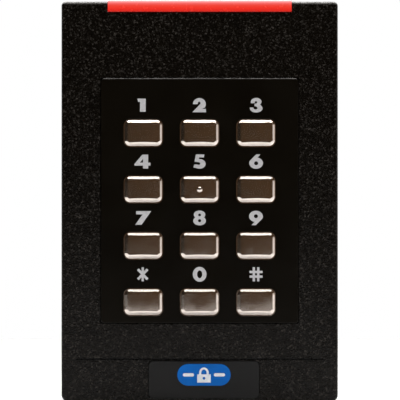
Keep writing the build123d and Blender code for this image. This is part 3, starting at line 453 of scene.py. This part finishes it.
STAR_ARMS = [(angle, 2.2, 0.70 if angle in (90, 270) else 0.80) for angle in (46, 90, 134, 226, 270, 314)]
SIX = [
    [(1.42, 2.26), (0.45, 1.22)] + arc(0.03, -0.49, 2.16, 1.77, 78, -205) + [(-0.25, 1.95), (0.12, 2.26)],
    ellipse(0.03, -0.54, 0.64, 0.62),
]
LEGENDS = {
    "1": [[(-1.29, 2.07), (1.29, 2.07), (1.29, -2.07), (-0.49, -2.07), (-0.49, 1.07), (-1.06, 1.07)]],
    "2": [
        arc(0.03, 0.34, 2.03, 1.90, 180, -34)
        + [(0.85, -1.15), (2.03, -1.15), (2.13, -2.22), (-2.18, -2.22), (0.36, 0.42)]
        + arc(-0.03, 0.70, 0.43, 0.43, -20, 180)
        + [(-0.5, 0.34)]
    ],
    "3": [
        [(-1.74, 0.64)]
        + arc(0.05, 1.10, 1.68, 1.19, 190, -42)
        + arc(0.05, -0.98, 2.0, 1.31, 48, -172)
        + [(-1.95, -0.72), (-0.84, -0.72)]
        + arc(-0.14, -0.92, 0.62, 0.42, 190, 375)
        + [(0.05, -0.36), (-0.49, -0.34), (-0.49, 0.50), (0.05, 0.52)]
        + arc(-0.03, 0.88, 0.38, 0.38, -40, 190)
        + [(-0.5, 0.64)]
    ],
    "4": [
        [
            (-2.49, -0.74), (-0.06, 2.18), (1.80, 2.18), (1.80, -0.34), (2.52, -0.34), (2.52, -1.28),
            (1.80, -1.28), (1.80, -2.20), (0.17, -2.20), (0.17, -1.28), (-2.49, -1.28),
        ],
        [(0.17, 0.86), (0.17, -0.34), (-0.84, -0.34)],
    ],
    "5": [
        [(-1.09, 2.24), (1.55, 2.24), (1.40, 1.30), (-0.10, 1.30), (-0.17, 0.78)]
        + arc(0.03, -0.74, 1.93, 1.51, 88, -122)
        + [(-1.90, -1.86), (-1.60, -0.92)]
        + arc(-0.30, -0.62, 0.56, 0.42, 225, 450)
        + [(-1.53, 0.02)]
    ],
    "6": SIX,
    "7": [[(-2.26, 2.15), (2.49, 2.15), (-0.54, -2.15), (-2.55, -2.15), (-0.23, 1.12), (-2.26, 1.12)]],
    "8": [
        arc(-0.03, 1.05, 1.82, 1.27, -38, 218) + arc(-0.03, -0.92, 2.0, 1.42, 142, 398),
        ellipse(-0.03, 0.95, 0.44, 0.42),
        ellipse(-0.03, -0.86, 0.50, 0.48),
    ],
    "9": [turned(outline) for outline in SIX],
    "0": [ellipse(0.0, 0.0, 2.16, 2.32), ellipse(0.0, 0.0, 0.80, 1.24)],
    "star": [star(STAR_ARMS)],
    "hash": hash_sign(2.05, 2.22, 0.69, 0.73, 0.74),
}


def flat_piece(name, outlines, at, y_back, thickness, material, body):
    """A thin raised shape that faces the front, from closed outlines in millimetres about the point at."""
    curve = bpy.data.curves.new(name, "CURVE")
    curve.dimensions = "2D"
    curve.fill_mode = "BOTH"
    curve.extrude = thickness / 2
    for outline in outlines:
        spline = curve.splines.new("POLY")
        spline.points.add(len(outline) - 1)
        for point, (x, z) in zip(spline.points, outline):
            point.co = (x * MM, z * MM, 0.0, 1.0)
        spline.use_cyclic_u = True
    drawn = bpy.data.objects.new(name + "_outline", curve)
    mesh = bpy.data.meshes.new_from_object(drawn)
    upright = Matrix.Rotation(radians(90), 4, "X")
    mesh.transform(Matrix.Translation((at[0], y_back - thickness / 2, at[1])) @ upright)
    bpy.data.objects.remove(drawn)
    bpy.data.curves.remove(curve)
    mesh.name = name
    mesh.materials.clear()
    mesh.materials.append(material)
    piece = bpy.data.objects.new(name, mesh)
    bpy.context.scene.collection.objects.link(piece)
    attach(piece, body)
    return piece


LEGEND_LIFT = 8.46 * MM  # middle of a legend above the middle of its key
LEGEND_SIZE = 0.965
LEGEND_SHIFT = {"1": -0.52, "4": -0.25, "2": -0.12, "5": -0.08, "star": -0.18}  # mm off its key's middle
INK = 0.04 * MM
faceplate_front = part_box("faceplate")[0][1]
for key in KEYS:
    centre = middle(f"key_{key}")
    spot = (centre.x + LEGEND_SHIFT.get(key, 0.0) * MM, centre.z + LEGEND_LIFT)
    outlines = [[(x * LEGEND_SIZE, z * LEGEND_SIZE) for x, z in outline] for outline in LEGENDS[key]]
    flat_piece(f"legend_{key}", outlines, spot, faceplate_front, INK, LEGEND_INK, "reader")

# a plain padlock between two bars on the emblem
emblem = middle("badge_emblem")
emblem_spot = (emblem.x, emblem.z)
emblem_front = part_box("badge_emblem")[0][1]
PADLOCK = [
    arc(0.0, 0.65, 1.45, 1.60, 0, 180)
    + [(-1.45, 0.15), (-2.05, 0.15), (-2.05, -2.35), (2.05, -2.35), (2.05, 0.15), (1.45, 0.15)],
    arc(0.0, 0.65, 0.80, 0.95, 180, 0) + [(0.80, 0.15), (-0.80, 0.15)],
    ellipse(0.0, -1.05, 0.42, 0.42),
]
flat_piece("emblem_padlock", PADLOCK, emblem_spot, emblem_front, INK, MARK_INK, "reader")
for name, side in (("emblem_bar_left", -1), ("emblem_bar_right", 1)):
    bar = arc(5.9, 0.0, 0.5, 0.5, -90, 90) + arc(3.5, 0.0, 0.5, 0.5, 90, 270)
    bar = [(side * x, z) for x, z in bar]
    flat_piece(name, [bar], emblem_spot, emblem_front, INK, MARK_INK, "reader")


# ---------------------------------------------------------------- silicone mat


def smooth_piece(name, vertices, faces, material, body):
    mesh = bpy.data.meshes.new(name)
    mesh.from_pydata(vertices, [], faces)
    mesh.update()
    mesh.materials.append(material)
    for face in mesh.polygons:
        face.use_smooth = True
    piece = bpy.data.objects.new(name, mesh)
    bpy.context.scene.collection.objects.link(piece)
    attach(piece, body)
    return piece


def lathe(centre, profile, sides=48):
    """Vertices and faces of a closed (radius, y) profile, in metres, turned about Y at centre (x, z)."""
    vertices = []
    for i in range(sides):
        turn = radians(360 * i / sides)
        for radius, y in profile:
            vertices.append((centre[0] + radius * cos(turn), y, centre[1] + radius * sin(turn)))
    count = len(profile)
    faces = []
    for i in range(sides):
        for j in range(count):
            a = i * count + j
            b = i * count + (j + 1) % count
            c = (i + 1) % sides * count + (j + 1) % count
            d = (i + 1) % sides * count + j
            faces.append((a, d, c, b))
    return vertices, faces


def rounded_rectangle(width, height, corner):
    """Outline in millimetres about its middle."""
    x = width / 2 - corner
    z = height / 2 - corner
    return (
        arc(x, z, corner, corner, 0, 90)
        + arc(-x, z, corner, corner, 90, 180)
        + arc(-x, -z, corner, corner, 180, 270)
        + arc(x, -z, corner, corner, 270, 360)
    )


mat_low, mat_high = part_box("keypad_mat")
mat_back = mat_high[1]
mat_centre = middle("keypad_mat")
mat_width = (mat_high[0] - mat_low[0]) / MM
mat_height = (mat_high[2] - mat_low[2]) / MM
SHEET = 1.0 * MM  # thickness of the mat between its domes
DOME_HOLE = 4.4  # mm, radius
RIB = 2.0  # mm, width of the sealing rib round the mat
DOME_CLEAR = 0.02 * MM  # the domes start this far in front of the sheet's front
key_spots = {key: middle(f"contact_pill_{key}") for key in KEYS}
holes = [
    ellipse((spot.x - mat_centre.x) / MM, (spot.z - mat_centre.z) / MM, DOME_HOLE, DOME_HOLE)
    for spot in key_spots.values()
]
mat_material = MATERIALS["mat_silicone"]
at = (mat_centre.x, mat_centre.z)
edge = rounded_rectangle(mat_width, mat_height, 2.0)
inner_edge = rounded_rectangle(mat_width - 2 * RIB, mat_height - 2 * RIB, 1.2)
sheet = flat_piece("mat_sheet", [edge] + holes, at, mat_back, SHEET, mat_material, "reader")
rib_depth = mat_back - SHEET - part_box("antenna_coil")[0][1]
rib_outlines = [edge, inner_edge]
flat_piece("mat_rib", rib_outlines, at, mat_back - SHEET, rib_depth, mat_material, "reader")
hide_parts("keypad_mat")

PILL_THICKNESS = 0.6 * MM
web_back = mat_back - SHEET
PILL_CLEAR = 0.01 * MM  # between a pill and the dome that carries it
pill_front = web_back - PILL_THICKNESS - PILL_CLEAR
dome_top = mat_low[1]
for key, spot in key_spots.items():
    # (radius, y): outside of the web, the pad that carries the key, then back down inside to the sheet
    profile = [
        (DOME_HOLE * MM, web_back),
        (3.3 * MM, web_back - 0.72 * MM),
        (2.95 * MM, web_back - 0.95 * MM),
        (2.8 * MM, web_back - 1.15 * MM),
        (2.8 * MM, dome_top + 0.15 * MM),
        (2.65 * MM, dome_top),
        (0.02 * MM, dome_top),
        (0.02 * MM, pill_front),
        (2.2 * MM, pill_front),
        (2.45 * MM, pill_front + 0.1 * MM),
        (3.9 * MM, web_back),
    ]
    vertices, faces = lathe((spot.x, spot.z), profile)
    dome = smooth_piece(f"mat_dome_{key}", vertices, faces, mat_material, "reader")
    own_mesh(dome)


# ---------------------------------------------------------------- studio

FLOOR_Z = cad_low[2] - 0.4 * MM
FLOOR_LEFT = -0.45
FLOOR_RIGHT = 1.6
FLOOR_FRONT = -0.30
FLOOR_BACK = 0.40


def stage_plane(name, corners, material):
    mesh = bpy.data.meshes.new(name)
    mesh.from_pydata(corners, [], [tuple(range(len(corners)))])
    mesh.materials.append(material)
    plane = bpy.data.objects.new(name, mesh)
    bpy.context.scene.collection.objects.link(plane)
    return plane


floor_look = Graph("floor_paper")
cloudy = floor_look.fit(floor_look.noise(6.0), 0.3, 0.7)
floor_look.set(Base_Color=floor_look.blend(cloudy, (0.90, 0.90, 0.90), (0.93, 0.93, 0.93)), Roughness=0.8)
stage_plane(
    "floor",
    [
        (FLOOR_LEFT, FLOOR_FRONT, FLOOR_Z),
        (FLOOR_RIGHT, FLOOR_FRONT, FLOOR_Z),
        (FLOOR_RIGHT, FLOOR_BACK, FLOOR_Z),
        (FLOOR_LEFT, FLOOR_BACK, FLOOR_Z),
    ],
    floor_look.material,
)


def softbox(name, place, aim, size, power, rgb=(1.0, 1.0, 1.0)):
    """A rectangular area light at place, turned to face aim."""
    light = bpy.data.lights.new(name, "AREA")
    light.shape = "RECTANGLE"
    light.size, light.size_y = size
    light.energy = power
    light.color = rgb
    lamp = bpy.data.objects.new(name, light)
    lamp.matrix_world = Matrix.LocRotScale(
        Vector(place), (Vector(aim) - Vector(place)).to_track_quat("-Z", "Y"), None
    )
    bpy.context.scene.collection.objects.link(lamp)
    return lamp


softbox("overhead", (0.0, -0.14, 0.75), (0.0, -0.05, 0.0), (0.9, 0.5), 2.0)
softbox("right_box", (0.85, -0.22, 0.05), (0.0, -0.02, 0.0), (0.35, 0.5), 0.42, (1.0, 0.97, 0.96))
softbox("rim", (0.01, -0.0175, 0.12), (0.01, -0.0175, 0.0), (0.20, 0.045), 0.32)
fill = softbox("fill", (0.0, -1.2, 0.5), (0.0, 0.0, 0.0), (0.9, 0.9), 6.0)
fill.visible_glossy = False

# white where the camera looks past the object; a dark warm room in front of it for everything that reflects
FRONT_LEFT = (0.022, 0.017, 0.012, 1.0)
FRONT_RIGHT = (0.074, 0.045, 0.025, 1.0)
BEHIND = (2.0, 2.0, 2.0, 1.0)
WHITE = (1.0, 1.0, 1.0, 1.0)
world = bpy.data.worlds.new("studio")
bpy.context.scene.world = world
world.use_nodes = True
tree = world.node_tree
tree.nodes.clear()


def ramp_along(socket, low, high):
    """0 where the direction's coordinate is low, 1 where it is high."""
    node = tree.nodes.new("ShaderNodeMapRange")
    tree.links.new(socket, node.inputs["Value"])
    node.inputs["From Min"].default_value = low
    node.inputs["From Max"].default_value = high
    return node.outputs[0]


def mixed(factor, a, b):
    """Colour a where factor is 0 and colour b where it is 1; each is a socket or a plain colour."""
    node = tree.nodes.new("ShaderNodeMix")
    node.data_type = "RGBA"
    tree.links.new(factor, node.inputs[0])
    for index, value in ((6, a), (7, b)):
        if isinstance(value, bpy.types.NodeSocket):
            tree.links.new(value, node.inputs[index])
        else:
            node.inputs[index].default_value = value
    return node.outputs[2]


direction = tree.nodes.new("ShaderNodeTexCoord")
parts = tree.nodes.new("ShaderNodeSeparateXYZ")
tree.links.new(direction.outputs["Generated"], parts.inputs[0])
front = mixed(ramp_along(parts.outputs["X"], -0.7, 0.1), FRONT_LEFT, FRONT_RIGHT)
room = mixed(ramp_along(parts.outputs["Y"], 0.0, 0.35), front, BEHIND)
seen = tree.nodes.new("ShaderNodeLightPath")
shine = tree.nodes.new("ShaderNodeBackground")
tree.links.new(mixed(seen.outputs["Is Camera Ray"], room, WHITE), shine.inputs["Color"])
output = tree.nodes.new("ShaderNodeOutputWorld")
tree.links.new(shine.outputs[0], output.inputs["Surface"])

scene = bpy.context.scene
scene.view_settings.view_transform = "Standard"

CAMERA_DISTANCE = 0.9  # from the housing's front face
VIEW_WIDTH = 121.4 * MM  # what the picture spans at that face
camera_data = bpy.data.cameras.new("camera")
camera_data.sensor_width = 36.0
camera_data.lens = 36.0 * CAMERA_DISTANCE / VIEW_WIDTH
camera_data.clip_start = 0.05
camera = bpy.data.objects.new("camera", camera_data)
housing_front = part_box("housing")[0][1]
camera.location = (0.1 * MM, housing_front - CAMERA_DISTANCE, 0.6 * MM)
camera.rotation_euler = (radians(90), 0.0, 0.0)
scene.collection.objects.link(camera)
scene.camera = camera
